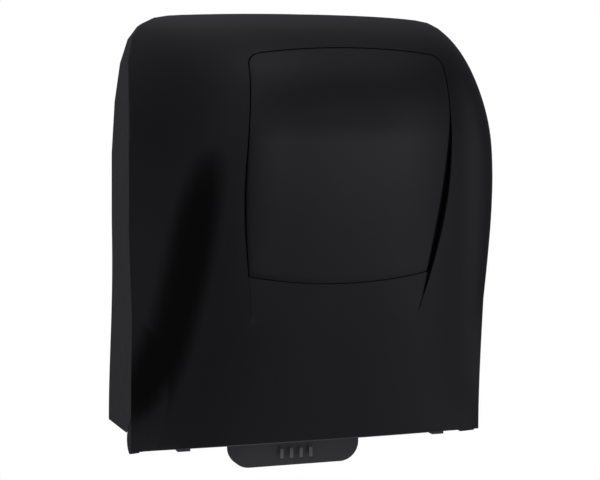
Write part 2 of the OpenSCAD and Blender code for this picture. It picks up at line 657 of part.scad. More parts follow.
// hinge tabs: rear lower corners of the cover, with the pin bosses
module hinge_tabs() {
    a = 90 + atan2(notch_z - house_bot, part_d(notch_z) - part_gap - notch_d);
    c = [hinge_d, hinge_z];
    top = [part_d(notch_z) - 0.4, notch_z - 3];
    color([0.015, 0.015, 0.016]) for (s = [-1, 1]) difference() {
        union() {
            across(s > 0 ? tab_x : -tab_x + tab_t, tab_t)
                polygon(concat([for (i = [0 : 16]) c + polar(tab_r, 270 - (270 - a) * i / 16)],
                    [top, [part_d(hinge_z + 16) - 0.3, hinge_z + 16], [part_d(hinge_z) - 0.3, hinge_z],
                    [part_d(hinge_z) - 0.3, low_z(1) - 1]]));
            rod(s > 0 ? bracket_x + bracket_t + 0.6 : -tab_x, s > 0 ? tab_x : -bracket_x - bracket_t - 0.6,
                hinge_d, hinge_z, 9.5);
        }
        rod(s > 0 ? bracket_x : -tab_x + 1.4, s > 0 ? tab_x - 1.4 : -bracket_x, hinge_d, hinge_z, pin_r + fit_play);
    }
}

// key lock in the top of the cover: case, nut, barrel with key slot, hooked tongue
module lock_case() {
    color([0.55, 0.56, 0.57]) difference() {
        translate([0, -lock_d, lock_low]) cylinder(h = lock_top - lock_low, r = lock_r + 3);
        translate([0, -lock_d, lock_low - 1]) cylinder(h = 60, r = lock_r + fit_play);
    }
}
module lock_nut() {
    color([0.55, 0.56, 0.57]) difference() {
        translate([0, -lock_d, skin_z(lock_d + lock_r + 8) - wall - 0.6 - nut_t]) cylinder(h = nut_t, r = lock_r + 8, $fn = 6);
        translate([0, -lock_d, z_top - 30]) cylinder(h = 60, r = lock_r + 3 + fit_play);
    }
}
module lock_barrel() {
    color([0.68, 0.68, 0.67]) difference() {
        union() {
            translate([0, -lock_d, lock_low - 3]) cylinder(h = lock_top - lock_low + 2.6, r = lock_r);
            translate([0, -lock_d, tongue_z - 1]) cylinder(h = lock_low - 3 - tongue_z + 1, r = 4);
        }
        translate([-0.9, -lock_d - 3.6, lock_top - 14]) cube([1.8, 7.2, 20]);
    }
}
module tongue2d() {
    polygon(concat([[-4, 5]], [for (i = [0 : 8]) polar(43, 94 - 36 * i / 8)], [for (i = [0 : 7]) polar(38.2, 58 + 26 * i / 7)],
        [[4, 20], [4, 5], [6, 0], [4, -6], [-4, -6], [-6, 0]]));
}
module lock_tongue() {
    color([0.62, 0.63, 0.64]) difference() {
        translate([0, -lock_d, tongue_z]) rotate([0, 0, 100]) linear_extrude(height = 3) tongue2d();
        translate([0, -lock_d, tongue_z - 1]) cylinder(h = 6, r = 4.02);
    }
}

// push lever: paddle with a rim, hanging on its shaft and swinging towards the wall
lever_rim = 10;
lever_skin = 3;
lever_corner = 18;
lever_low = z_bot - lever_drop;
module paddle(g, d0, d1) {
    h = lever_w / 2 - g;
    r = lever_corner - g;
    block([-h, d0, lever_low + lever_corner], [h, d1, lever_ax_z]);
    block([-h + r, d0, lever_low + g], [h - r, d1, lever_low + lever_corner + 1]);
    for (s = [-1, 1])
        translate([s * (lever_w / 2 - lever_corner), -d0, lever_low + lever_corner]) rotate([90, 0, 0])
            cylinder(h = d1 - d0, r = r);
}
module push_lever() {
    color([0.025, 0.025, 0.027]) difference() {
        union() {
            difference() {
                paddle(0, lever_d - lever_rim, lever_d);
                paddle(lever_skin, lever_d - lever_rim - 5, lever_d - lever_skin);
            }
            rod(-lever_w / 2, lever_w / 2, lever_ax_d, lever_ax_z, 8);
            for (x = [-30, 30])
                block([x - 1.5, lever_d - lever_rim + 2, lever_low + 8], [x + 1.5, lever_d - 1, lever_ax_z]);
        }
        rod(-200, 200, lever_ax_d, lever_ax_z, lever_r + 0.02);
        rod(-12, 12, lever_ax_d, lever_ax_z, 8.6);
    }
}
module lever_shaft() {
    color([0.62, 0.63, 0.64]) rod(-frame_x - frame_t - 3, drive_x + drive_t + 1, lever_ax_d, lever_ax_z, lever_r);
}

// toothed sector on the lever shaft, teeth inwards, around the pinion
sector_from = mesh_at - 8;
function tooth_in(r) = 90 / sector_n - back_deg(sector_n) - flank_deg(sector_n, r);
sector_teeth = [for (k = [-1 : 8]) mesh_at + (k + 0.5) * 360 / sector_n];
module sector2d() {
    rt = sector_rp - gear_m * 0.95;
    rr = sector_rp + 1.25 * gear_m;
    rs = [for (i = [0 : 3]) rr + (rt - rr) * i / 3];
    polygon(concat(
        [for (i = [0 : 12]) polar(sector_out, spoke_at + 4 - (spoke_at + 4 - sector_from) * i / 12)],
        [polar(rr, sector_from)],
        [for (a = sector_teeth) each concat(
            [for (i = [0 : 3]) polar(rs[i], a - tooth_in(rs[i]))],
            [for (i = [3 : -1 : 0]) polar(rs[i], a + tooth_in(rs[i]))])],
        [for (a = [sector_teeth[9] + 4, spoke_at - 5]) polar(rr, a)],
        [polar(rr - 4, spoke_at - 2), polar(9, spoke_at - 40), polar(6, spoke_at), polar(9, spoke_at + 40)]));
}
module lever_sector() {
    color([0.78, 0.77, 0.72]) difference() {
        union() {
            translate([0, -lever_ax_d, lever_ax_z]) across(drive_x + drive_t, drive_t) sector2d();
            rod(drive_x, drive_x + drive_t, lever_ax_d, lever_ax_z, 7);
        }
        rod(-200, 200, lever_ax_d, lever_ax_z, lever_r + 0.02);
    }
}

// return spring of the lever: coils around the shaft, one leg behind the paddle, one under the tie rod
lever_coil_r = 6;
lever_wire = 0.6;
lever_turn = 2124.65;
module lever_spring() {
    n = round(lever_turn / 45);
    half = 6.5;
    spot = [for (i = [0 : n]) let (q = polar(lever_coil_r, -150 - lever_turn * i / n))
        [-half + 2 * half * i / n, -lever_ax_d - q[0], lever_ax_z + q[1]]];
    leg0 = polar(lever_coil_r, -150) + polar(lever_skin_gap(), -60);
    leg1 = polar(lever_coil_r, 245.35) + polar(33, 155.35);
    echo(str("least gap between coils of the lever spring: ", 2 * half * 360 / lever_turn - 2 * lever_wire, " mm"));
    color([0.6, 0.61, 0.62]) wire(concat([[-half, -lever_ax_d - leg0[0], lever_ax_z + leg0[1]]], spot,
        [[half, -lever_ax_d - leg1[0], lever_ax_z + leg1[1]]]), lever_wire);
}
function lever_skin_gap() = (lever_d - lever_skin - lever_ax_d - lever_wire - 0.15 - lever_coil_r * cos(-150)) / cos(-60);

// pinion with one-way clutch on the drum's right journal
module clutch_pinion() {
    color([0.78, 0.77, 0.72]) difference() {
        translate([0, -drum_d, drum_z]) across(drive_x + drive_t, drive_t) gear2d(pinion_n, mesh_at);
        rod(-200, 200, drum_d, drum_z, journal_r + fit_play);
    }
}

// feed drum: slotted tube, two caps with journals, rubber grip bands
slot_half = 16.5;
band_x = [for (k = [-2.5 : 1 : 2.5]) k * (2 * drum_half - 30) / 5];
band_t = 0.8;
module knife_slot(e) {
    translate([0, -drum_d, drum_z]) across(drum_half - 4, 2 * drum_half - 8)
        polygon([for (q = [[20, -1], [drum_r + 12, -1], [drum_r + 12, 1], [20, 1]])
            q[0] * polar(1, knife_at) + q[1] * (slot_half + e) * polar(1, knife_at + 90)]);
}
module drum_shell() {
    color([0.3, 0.31, 0.32]) difference() {
        rod(-drum_half, drum_half, drum_d, drum_z, drum_r);
        rod(-drum_half - 1, drum_half + 1, drum_d, drum_z, drum_r - 3);
        knife_slot(0);
        for (x = band_x)
            difference() {
                rod(x - 6, x + 6, drum_d, drum_z, drum_r + 2);
                rod(x - 7, x + 7, drum_d, drum_z, drum_r - band_t);
            }
    }
}
module grip_bands() {
    color([0.08, 0.08, 0.08]) difference() {
        for (x = band_x)
            rod(x - 6, x + 6, drum_d, drum_z, drum_r + 0.1);
        for (x = band_x)
            rod(x - 7, x + 7, drum_d, drum_z, drum_r - band_t);
        knife_slot(0.4);
    }
}
knife_d = drum_d + knife_c * cos(knife_at);
knife_z = drum_z + knife_c * sin(knife_at);
module drum_cap(s) {
    difference() {
        union() {
            rod(s > 0 ? drum_half : -drum_half - cap_t, s > 0 ? drum_half + cap_t : -drum_half, drum_d, drum_z, drum_r);
            difference() {
                rod(s > 0 ? drum_half - 4 : -drum_half - 1, s > 0 ? drum_half + 1 : -drum_half + 4,
                    drum_d, drum_z, drum_r - 3 - 0.02);
                rod(-200, 200, drum_d, drum_z, drum_r - 5.5);
            }
            rod(s > 0 ? drum_half : -frame_x - 24, s > 0 ? post_end + 3 : -drum_half, drum_d, drum_z, journal_r);
        }
        rod(s > 0 ? drum_half - 5 : -drum_half - cap_t - 1, s > 0 ? drum_half + cap_t + 1 : -drum_half + 5,
            knife_d, knife_z, 4 + fit_play);
    }
}
module drum_cap_left() {
    color([0.3, 0.31, 0.32]) drum_cap(-1);
}
module drum_cap_right() {
    color([0.3, 0.31, 0.32]) drum_cap(1);
}

// crank disc with its pin on the right journal, and the spring that turns it past dead centre
module crank_disc() {
    color([0.4, 0.41, 0.42]) difference() {
        union() {
            rod(crank_x, crank_x + 5, drum_d, drum_z, 23);
            rod(crank_x, post_end, drum_d + crank_r * cos(crank_at), drum_z + crank_r * sin(crank_at), post_r);
        }
        rod(-200, 200, drum_d, drum_z, journal_r + 0.02);
    }
}
coil_r = 3.6;
coils = 20;
module drive_spring() {
    a = [drum_d + crank_r * cos(crank_at), drum_z + crank_r * sin(crank_at)];
    b = [post_d, post_z];
    dir = unit(b - a);
    perp = [-dir[1], dir[0]];
    loop = post_r + wire_r + 0.25;
    s0 = loop + 3;
    s1 = norm(b - a) - loop - 3;
    hook0 = [for (i = [0 : 8]) let (t = -150 + 30 * i) a + loop * (cos(t) * dir + sin(t) * perp)];
    hook1 = [for (i = [0 : 8]) let (t = 90 + 30 * i) b + loop * (cos(t) * dir + sin(t) * perp)];
    coil = [for (i = [0 : 8 * coils]) let (t = 45 * i + 90, p = a + dir * (s0 + (s1 - s0) * i / (8 * coils)) + perp * coil_r * sin(t))
        [spring_x + coil_r * cos(t), -p[0], p[1]]];
    path = concat([for (p = hook0) [spring_x, -p[0], p[1]]], coil, [for (p = hook1) [spring_x, -p[0], p[1]]]);
    echo(str("least gap between coils of the drive spring: ", (s1 - s0) / coils - 2 * wire_r, " mm"));
    color([0.6, 0.61, 0.62]) wire(path, wire_r);
}

// wheel on the left journal for threading a new towel by hand
module threading_wheel() {
    x0 = -frame_x - 22;
    x1 = -frame_x - 10;
    color([0.1, 0.25, 0.45]) difference() {
        union() {
            rod(x0, x1, drum_d, drum_z, 21);
            for (i = [0 : 11])
                rod(x0, x1, drum_d + 20 * cos(30 * i), drum_z + 20 * sin(30 * i), 3);
        }
        rod(x0 - 1, x1 + 1, drum_d, drum_z, journal_r + 0.02);
        difference() {
            rod(x0 - 1, x0 + 4, drum_d, drum_z, 17);
            rod(x0 - 2, x0 + 5, drum_d, drum_z, journal_r + 4);
        }
    }
}

// knife: bar on two pivots inside the drum, toothed blade, pinion outside the left cap
module knife_carrier() {
    away = knife_at + 180;
    flat = [[-8, 1.2], [20, 1.2], [20, 20], [-8, 20]];
    color([0.45, 0.46, 0.47]) difference() {
        union() {
            rod(-gear_x - gear_t, drum_half + cap_t, knife_d, knife_z, 4);
            rod(-drum_half + 6, drum_half - 6, knife_d, knife_z, 6.5);
        }
        translate([0, -knife_d, knife_z]) across(drum_half - 6.5, 2 * drum_half - 13)
            polygon([for (q = flat) q[0] * polar(1, away) + q[1] * polar(1, away + 90)]);
    }
}
module knife_blade() {
    away = knife_at + 180;
    n = 30;
    half = drum_half - 8;
    pitch = 2 * half / n;
    color([0.7, 0.71, 0.72]) translate([0, -knife_d, knife_z]) rotate([90 - away, 0, 0]) rotate([90, 0, 0]) {
        translate([0, 0, -2.45]) linear_extrude(height = 1.2)
            polygon(concat([[-half, -4], [-half, knife_reach - 4]],
                [for (i = [0 : n - 1]) each [[-half + pitch * (i + 0.5), knife_reach], [-half + pitch * (i + 1), knife_reach - 4]]],
                [[half, -4]]));
    }
}
module knife_pinion() {
    color([0.78, 0.77, 0.72]) difference() {
        translate([0, -knife_d, knife_z]) across(-gear_x, gear_t) gear2d(knife_n, knife_at + 180 + 180 / knife_n);
        rod(-200, 200, knife_d, knife_z, 4.02);
    }
}

// press roller: two arms on the pivot rod, axle, rubber rollers
module nip_arms() {
    u = unit([nip_d - nip_rod_d, nip_z - nip_rod_z]);
    n = [-u[1], u[0]];
    l = norm([nip_d - nip_rod_d, nip_z - nip_rod_z]);
    color([0.16, 0.17, 0.18]) for (x = [-nip_arm_x - 4, nip_arm_x]) difference() {
        union() {
            rod(x, x + 4, nip_rod_d, nip_rod_z, 8);
            rod(x, x + 4, nip_d, nip_z, 5.5);
            across(x + 4, 4) polygon([for (q = [[0, -7.5], [l, -5], [l, 5], [0, 7.5]])
                [nip_rod_d, nip_rod_z] + q[0] * u + q[1] * n]);
        }
        rod(x - 1, x + 5, nip_rod_d, nip_rod_z, nip_rod_r + fit_play);
        rod(x - 1, x + 5, nip_d, nip_z, nip_axle_r + fit_play);
    }
}
module nip_axle() {
    color([0.62, 0.63, 0.64]) rod(-nip_arm_x - 6, nip_arm_x + 6, nip_d, nip_z, nip_axle_r);
}
module nip_rollers() {
    color([0.08, 0.08, 0.08]) for (k = [-1.5 : 1 : 1.5], x = [k * (nip_arm_x - 4) / 2]) difference() {
        rod(x - 16, x + 16, nip_d, nip_z, nip_r);
        rod(x - 17, x + 17, nip_d, nip_z, nip_axle_r + 0.02);
    }
}

// roll hubs: plugs that turn in the arms and carry the towel roll's core
module roll_hub(s) {
    x0 = hub_span / 2;
    translate([0, -roll_d, roll_z]) rotate([0, s * 90, 0]) {
        translate([0, 0, x0 - 14]) cylinder(h = 14, r = hub_r);
        translate([0, 0, x0 - 17]) cylinder(h = 3, r1 = hub_r - 3, r2 = hub_r);
        translate([0, 0, x0]) cylinder(h = 3, r = hub_r + 9);
        cylinder_to = arm_x + arm_t + 0.4;
        translate([0, 0, x0]) cylinder(h = cylinder_to - x0 + 2, r = stub_r);
        translate([0, 0, cylinder_to]) cylinder(h = 2, r = stub_r + 1.6);
    }
}
module roll_hub_left() {
    color([0.3, 0.31, 0.32]) roll_hub(-1);
}
module roll_hub_right() {
    color([0.3, 0.31, 0.32]) roll_hub(1);
}

rear_housing();
frame_left();
frame_right();
tie_rods();
rear_guide();
outlet_guide();
drum_bushes();
fixed_gear();
nip_rod();
spring_post();
drive_cover();
roll_arm_left();
arm_bracket();
arm_pin();
mechanism_screws();
lock_keeper();
hinge_brackets();
hinge_pins();
front_cover();
front_panel();
hinge_tabs();
lock_case();
lock_nut();
lock_barrel();
lock_tongue();
push_lever();
lever_shaft();
lever_sector();
lever_spring();
clutch_pinion();
drum_shell();
drum_cap_left();
drum_cap_right();
grip_bands();
crank_disc();
drive_spring();
threading_wheel();
knife_carrier();
knife_blade();
knife_pinion();
nip_arms();
nip_axle();
nip_rollers();
roll_hub_left();
roll_arm_right();
roll_hub_right();
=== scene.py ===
import math
import bpy
import bmesh
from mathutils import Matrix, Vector


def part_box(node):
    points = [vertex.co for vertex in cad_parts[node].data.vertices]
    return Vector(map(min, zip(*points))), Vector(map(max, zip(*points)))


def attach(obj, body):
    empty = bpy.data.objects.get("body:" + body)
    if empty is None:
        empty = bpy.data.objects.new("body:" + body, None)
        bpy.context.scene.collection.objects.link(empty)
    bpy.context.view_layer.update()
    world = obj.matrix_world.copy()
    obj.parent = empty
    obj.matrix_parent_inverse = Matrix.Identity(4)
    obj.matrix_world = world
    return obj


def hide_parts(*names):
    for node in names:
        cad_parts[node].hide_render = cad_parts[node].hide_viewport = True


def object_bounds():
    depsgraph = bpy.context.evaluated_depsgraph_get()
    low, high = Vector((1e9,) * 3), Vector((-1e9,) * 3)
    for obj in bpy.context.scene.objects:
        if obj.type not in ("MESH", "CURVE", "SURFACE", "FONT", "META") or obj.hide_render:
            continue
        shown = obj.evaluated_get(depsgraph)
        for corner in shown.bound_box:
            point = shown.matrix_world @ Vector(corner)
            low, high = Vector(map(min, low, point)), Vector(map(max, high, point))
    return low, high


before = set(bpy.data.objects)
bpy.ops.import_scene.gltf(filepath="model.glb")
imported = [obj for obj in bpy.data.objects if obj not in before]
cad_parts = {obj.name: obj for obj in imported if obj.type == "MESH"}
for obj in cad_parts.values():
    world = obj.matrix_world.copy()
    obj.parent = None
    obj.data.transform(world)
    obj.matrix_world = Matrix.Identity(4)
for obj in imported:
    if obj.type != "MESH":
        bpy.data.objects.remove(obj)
cad_low, cad_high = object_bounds()
scene = bpy.context.scene
scene.view_settings.view_transform = "Standard"
MM = 0.001

# Rear housing: the deep tray that is screwed to the wall and carries everything else.
# Injection moulded ABS in black with a fine spark-eroded grain, so it looks matte beside the cover.
# Its solid is right as it is; only the shading is smoothed over its curved corners.


def moulded_grain_group():
    """Fine grain, long soft mould waves and dulled patches of a moulded plastic skin."""
    group = bpy.data.node_groups.new("moulded_grain", "ShaderNodeTree")
    face = group.interface
    face.new_socket("Vector", in_out="INPUT", socket_type="NodeSocketVector")
    for name, value in (("Grain Scale", 1500.0), ("Patch Scale", 22.0), ("Wave", 0.3)):
        face.new_socket(name, in_out="INPUT", socket_type="NodeSocketFloat").default_value = value
    for name in ("Height", "Patch", "Speck"):
        face.new_socket(name, in_out="OUTPUT", socket_type="NodeSocketFloat")
    nodes, links = group.nodes, group.links
    give = nodes.new("NodeGroupInput")
    take = nodes.new("NodeGroupOutput")
    fine = nodes.new("ShaderNodeTexNoise")
    fine.inputs["Detail"].default_value = 3.0
    patch = nodes.new("ShaderNodeTexNoise")
    patch.inputs["Detail"].default_value = 5.0
    patch.inputs["Roughness"].default_value = 0.62
    wave = nodes.new("ShaderNodeMath")
    wave.operation = "MULTIPLY_ADD"
    for noise, scale in ((fine, "Grain Scale"), (patch, "Patch Scale")):
        links.new(give.outputs["Vector"], noise.inputs["Vector"])
        links.new(give.outputs[scale], noise.inputs["Scale"])
    links.new(patch.outputs["Fac"], wave.inputs[0])
    links.new(give.outputs["Wave"], wave.inputs[1])
    links.new(fine.outputs["Fac"], wave.inputs[2])
    speck = nodes.new("ShaderNodeMapRange")
    speck.inputs["From Min"].default_value = 0.35
    speck.inputs["From Max"].default_value = 0.7
    links.new(fine.outputs["Fac"], speck.inputs["Value"])
    links.new(wave.outputs[0], take.inputs["Height"])
    links.new(patch.outputs["Fac"], take.inputs["Patch"])
    links.new(speck.outputs["Result"], take.inputs["Speck"])
    return group


moulded_grain = moulded_grain_group()
NOISE_LOW, NOISE_HIGH = 0.3, 0.7
SPECK_DARK, SPECK_PALE = 0.9, 1.1
WELD_GAP, EDGE_ANGLE = 0.002, 40


def spread(nodes, links, value, low, high, into):
    """Lead a noise mask to a socket, its usual range spread between two values."""
    ranged = nodes.new("ShaderNodeMapRange")
    ranged.inputs["From Min"].default_value = NOISE_LOW
    ranged.inputs["From Max"].default_value = NOISE_HIGH
    ranged.inputs["To Min"].default_value = low
    ranged.inputs["To Max"].default_value = high
    links.new(value, ranged.inputs["Value"])
    links.new(ranged.outputs["Result"], into)


def moulded_plastic(name, colour, rough, grain=1500.0, depth=0.02, patches=22.0, wave=0.3, uneven=0.12):
    """Moulded plastic: base colour with paler and darker specks, uneven gloss and a surface grain."""
    material = bpy.data.materials.new(name)
    material.use_nodes = True
    nodes, links = material.node_tree.nodes, material.node_tree.links
    skin = nodes["Principled BSDF"]
    place = nodes.new("ShaderNodeTexCoord")
    grained = nodes.new("ShaderNodeGroup")
    grained.node_tree = moulded_grain
    grained.inputs["Grain Scale"].default_value = grain
    grained.inputs["Patch Scale"].default_value = patches
    grained.inputs["Wave"].default_value = wave
    links.new(place.outputs["Object"], grained.inputs["Vector"])
    tone = nodes.new("ShaderNodeMix")
    tone.data_type = "RGBA"
    tone.inputs["A"].default_value = (*[SPECK_DARK * c for c in colour], 1.0)
    tone.inputs["B"].default_value = (*[SPECK_PALE * c for c in colour], 1.0)
    links.new(grained.outputs["Speck"], tone.inputs["Factor"])
    links.new(tone.outputs["Result"], skin.inputs["Base Color"])
    duller, glossier = rough * (1 + uneven), rough * (1 - uneven)
    spread(nodes, links, grained.outputs["Patch"], glossier, duller, skin.inputs["Roughness"])
    bump = nodes.new("ShaderNodeBump")
    bump.inputs["Strength"].default_value = 1.0
    bump.inputs["Distance"].default_value = depth * MM
    links.new(grained.outputs["Height"], bump.inputs["Height"])
    links.new(bump.outputs["Normal"], skin.inputs["Normal"])
    return material


def dress(node, material, crease=32.0, edge=0.0):
    """Give a CAD node its material, smooth shading over curves and, where asked, broken edges."""
    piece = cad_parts[node]
    piece.data.materials.clear()
    piece.data.materials.append(material)
    piece.data.polygons.foreach_set("use_smooth", [True] * len(piece.data.polygons))
    weld = piece.modifiers.new("joined", "WELD")
    weld.merge_threshold = WELD_GAP * MM
    if edge:
        broken = piece.modifiers.new("broken_edges", "BEVEL")
        broken.width = edge * MM
        broken.segments = 2
        broken.limit_method = "ANGLE"
        broken.angle_limit = math.radians(EDGE_ANGLE)
        broken.harden_normals = False
    split = piece.modifiers.new("creases", "EDGE_SPLIT")
    split.split_angle = math.radians(crease)


housing_skin = moulded_plastic("housing_skin", (0.0145, 0.0145, 0.0155), 0.55, grain=900.0, depth=0.05)
dress("rear_housing", housing_skin)

# Mechanism frame: two side plates with screw feet, tied by rods, with the towel guides between them.
# Glass-filled nylon plates in dark grey; the guides and the drive's cover are plain moulded sheets.
# Every piece is the solid itself, seated on its neighbours, and screwed to the housing's bosses.
frame_nylon = moulded_plastic("frame_nylon", (0.034, 0.035, 0.037), 0.5, grain=1100.0, depth=0.03)
guide_skin = moulded_plastic("guide_skin", (0.06, 0.062, 0.066), 0.42, grain=1300.0, depth=0.02)
for node in ("frame_left", "frame_right", "hinge_brackets", "arm_bracket"):
    dress(node, frame_nylon)
for node in ("rear_guide", "outlet_guide", "drive_cover"):
    dress(node, guide_skin)
LINE_STRETCH, LINE_DEPTH = 0.02, 0.006
LINE_DARK, LINE_PALE = 0.82, 1.1


def drawn_steel(name, colour, rough, along=(1, 0, 0), lines=900.0):
    """Bright plated steel with fine drawing lines along one axis."""
    material = bpy.data.materials.new(name)
    material.use_nodes = True
    nodes, links = material.node_tree.nodes, material.node_tree.links
    metal = nodes["Principled BSDF"]
    metal.inputs["Metallic"].default_value = 1.0
    place = nodes.new("ShaderNodeTexCoord")
    stretch = nodes.new("ShaderNodeMapping")
    stretch.inputs["Scale"].default_value = [LINE_STRETCH if a else 1.0 for a in along]
    noise = nodes.new("ShaderNodeTexNoise")
    noise.inputs["Scale"].default_value = lines
    noise.inputs["Detail"].default_value = 4.0
    links.new(place.outputs["Object"], stretch.inputs["Vector"])
    links.new(stretch.outputs["Vector"], noise.inputs["Vector"])
    tone = nodes.new("ShaderNodeMix")
    tone.data_type = "RGBA"
    tone.inputs["A"].default_value = (*[LINE_DARK * c for c in colour], 1.0)
    tone.inputs["B"].default_value = (*[min(1.0, LINE_PALE * c) for c in colour], 1.0)
    links.new(noise.outputs["Fac"], tone.inputs["Factor"])
    links.new(tone.outputs["Result"], metal.inputs["Base Color"])
    spread(nodes, links, noise.outputs["Fac"], rough * 0.8, rough * 1.25, metal.inputs["Roughness"])
    bump = nodes.new("ShaderNodeBump")
    bump.inputs["Distance"].default_value = LINE_DEPTH * MM
    links.new(noise.outputs["Fac"], bump.inputs["Height"])
    links.new(bump.outputs["Normal"], metal.inputs["Normal"])
    return material


rod_steel = drawn_steel("rod_steel", (0.55, 0.56, 0.57), 0.3)
screw_steel = drawn_steel("screw_steel", (0.5, 0.5, 0.49), 0.34, along=(0, 1, 0), lines=1500.0)
for node in ("tie_rods", "nip_rod", "spring_post", "arm_pin",
             "hinge_pins", "lever_shaft", "nip_axle", "crank_disc"):
    dress(node, rod_steel)
dress("mechanism_screws", screw_steel)

# Feed drum: slotted tube with two press-fitted caps, whose journals run in flanged bushes.
# Grey moulded plastic with rubber grip bands; gears and bushes are natural acetal.
# The blue wheel on the left journal threads a new towel by hand.
drum_skin = moulded_plastic("drum_skin", (0.12, 0.125, 0.13), 0.46, grain=1200.0, depth=0.02)
acetal = moulded_plastic("acetal", (0.62, 0.6, 0.54), 0.38, grain=1800.0, depth=0.008)
touch_blue = moulded_plastic("touch_blue", (0.05, 0.15, 0.32), 0.4, grain=1200.0, depth=0.02)
band_rubber = moulded_plastic("band_rubber", (0.03, 0.03, 0.03), 0.75, grain=1600.0, depth=0.05,
                              uneven=0.2)
for node in ("drum_shell", "drum_cap_left", "drum_cap_right",
             "knife_carrier", "roll_hub_left", "roll_hub_right"):
    dress(node, drum_skin)
for node in ("drum_bushes", "fixed_gear", "knife_pinion", "clutch_pinion", "lever_sector"):
    dress(node, acetal, crease=25.0)
dress("threading_wheel", touch_blue)
for node in ("grip_bands", "nip_rollers"):
    dress(node, band_rubber)

# Knife: toothed strip of stainless steel on the carrier bar inside the drum.
# The blade is stamped and ground, so its grinding lines run across its length.
# The drive spring and the lever's return spring are wound from bright spring wire.
blade_steel = drawn_steel("blade_steel", (0.6, 0.61, 0.62), 0.22, along=(0, 0, 1), lines=1200.0)
spring_wire = drawn_steel("spring_wire", (0.5, 0.5, 0.5), 0.28, along=(0, 0, 1), lines=1500.0)
dress("knife_blade", blade_steel)
for node in ("drive_spring", "lever_spring"):
    dress(node, spring_wire, crease=70.0)

# Press roller and roll holder: arms that hold the rollers to the drum, and arms with turning hubs.
# The arms are the same dark nylon as the frames.
# They turn on the steel rods and pins above.
for node in ("nip_arms", "roll_arm_left", "roll_arm_right"):
    dress(node, frame_nylon)

# Lock: die-cast case and nut, steel tongue and keeper, polished key barrel in the top of the cover.
# Zinc parts are bright plated; the barrel's face is polished and carries the key slot.
# The barrel turns in its case and the tongue hooks round the keeper's post.
zinc_cast = drawn_steel("zinc_cast", (0.52, 0.53, 0.54), 0.36, along=(0, 0, 1))
key_chrome = drawn_steel("key_chrome", (0.7, 0.7, 0.7), 0.14, along=(0, 0, 1))
for node in ("lock_case", "lock_nut", "lock_keeper", "lock_tongue"):
    dress(node, zinc_cast)
dress("lock_barrel", key_chrome)

# Push lever: paddle below the case, pushed towards the wall to feed the first towel.
# Satin black ABS, a little paler than the cover, with broken edges; it hangs on a steel shaft.
# Four raised grey ribs mark where it is pushed.
lever_skin = moulded_plastic("lever_skin", (0.028, 0.028, 0.029), 0.42, grain=1300.0, depth=0.02)
dress("push_lever", lever_skin, edge=0.8)
lever_low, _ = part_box("push_lever")
RIB_COUNT, RIB_PITCH, RIB_UP = 4, 9.2, 12.0
RIB_W, RIB_H, RIB_DEEP, RIB_ROUND = 3.2, 9.0, 1.2, 0.5
ribs = bmesh.new()
for i in range(RIB_COUNT):
    rib_x = (i - (RIB_COUNT - 1) / 2) * RIB_PITCH * MM
    made = bmesh.ops.create_cube(ribs, size=MM)["verts"]
    bmesh.ops.scale(ribs, vec=(RIB_W, RIB_DEEP, RIB_H), verts=made)
    bmesh.ops.translate(ribs, vec=(rib_x, lever_low.y, lever_low.z + RIB_UP * MM), verts=made)
bmesh.ops.bevel(ribs, geom=list(ribs.edges), offset=RIB_ROUND * MM, segments=3, affect="EDGES", profile=0.5)
rib_mesh = bpy.data.meshes.new("push_ribs")
ribs.to_mesh(rib_mesh)
ribs.free()
rib_mesh.polygons.foreach_set("use_smooth", [True] * len(rib_mesh.polygons))
rib_grey = moulded_plastic("rib_grey", (0.105, 0.105, 0.11), 0.45, grain=1300.0, depth=0.01)
rib_mesh.materials.append(rib_grey)
push_ribs = bpy.data.objects.new("push_ribs", rib_mesh)
scene.collection.objects.link(push_ribs)
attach(push_ribs, "lever")

# Front cover: one bulging moulded shell that hangs on two pins at its lower rear corners.
# High-gloss black ABS; the mould gives it a crown on top, a taper below and a step on both sides
# of the centre field that swells at half height and runs out to nothing.
BODY_W, BODY_H, BODY_D = 332.0, 371.0, -cad_low.y / MM
WIDEST = cad_high.x / MM
BOTTOM_W, BOTTOM_D, SHELL_T = 315.0, 124.0, 3.4
Z_TOP, Z_BOT = BODY_H / 2, -BODY_H / 2
BELLY_Z, WIDE_Z, CORNER_Z, CROWN = 85.4, 50.0, 1.0, 4.5
PART_LOW, PART_MID, PART_TOP, PART_BEND = 103.0, 119.6, 56.0, 1.5
PANEL_TOP, PANEL_LOW, PANEL_W, PANEL_T = 151.4, -41.8, 175.0, 2.0
PANEL_DROP, PANEL_RISE, PANEL_CORNER = 3.9, 7.5, 10.0
FIELD_FOOT, FIELD_DRAW = 60.0, 5.0
STEP_H, STEP_Z, STEP_HALF, STEP_SLOPE = 4.5, 15.0, 92.0, 0.3
PANEL_PLAY, SEAM, LIP_R = 0.2, 0.4, 1.4
POCKET = PANEL_T + PANEL_PLAY
BELLY_POW, BROW_RISE, BROW_POW, FLANK_POW = 1.39, 3.58, 1.83, 3.59
CORNER_UP, CORNER_OUT, STEP_POW = 2.2, 14, 1.25
EDGE_DROP, EDGE_POW, FOOT_SHARE = 3.5, 4, 0.38
BACKING_START, BACKING_RUN = 3.0, 17.0
FIELD_CLOSER, TOP_CLOSER, RIM_POW = 1.5, 2, 3
FLANK_COLS, FIELD_COLS, RIM_COLS = 30, 44, 10
LIP_ROWS, LOW_ROWS, FIELD_ROWS, TOP_ROWS = 7, 40, 52, 40
COVER_ROUND, PANEL_ROUND, SKIN_CREASE = 0.6, 0.4, 28.0
LOCK_BORE_R, LOCK_BORE_LONG, BORE_SIDES = 10.3, 60.0, 64


def clip01(t):
    """Hold a share between 0 and 1."""
    return min(1.0, max(0.0, t))


def ease(t):
    """Smooth rise from 0 to 1."""
    return t * t * (3 - 2 * t)


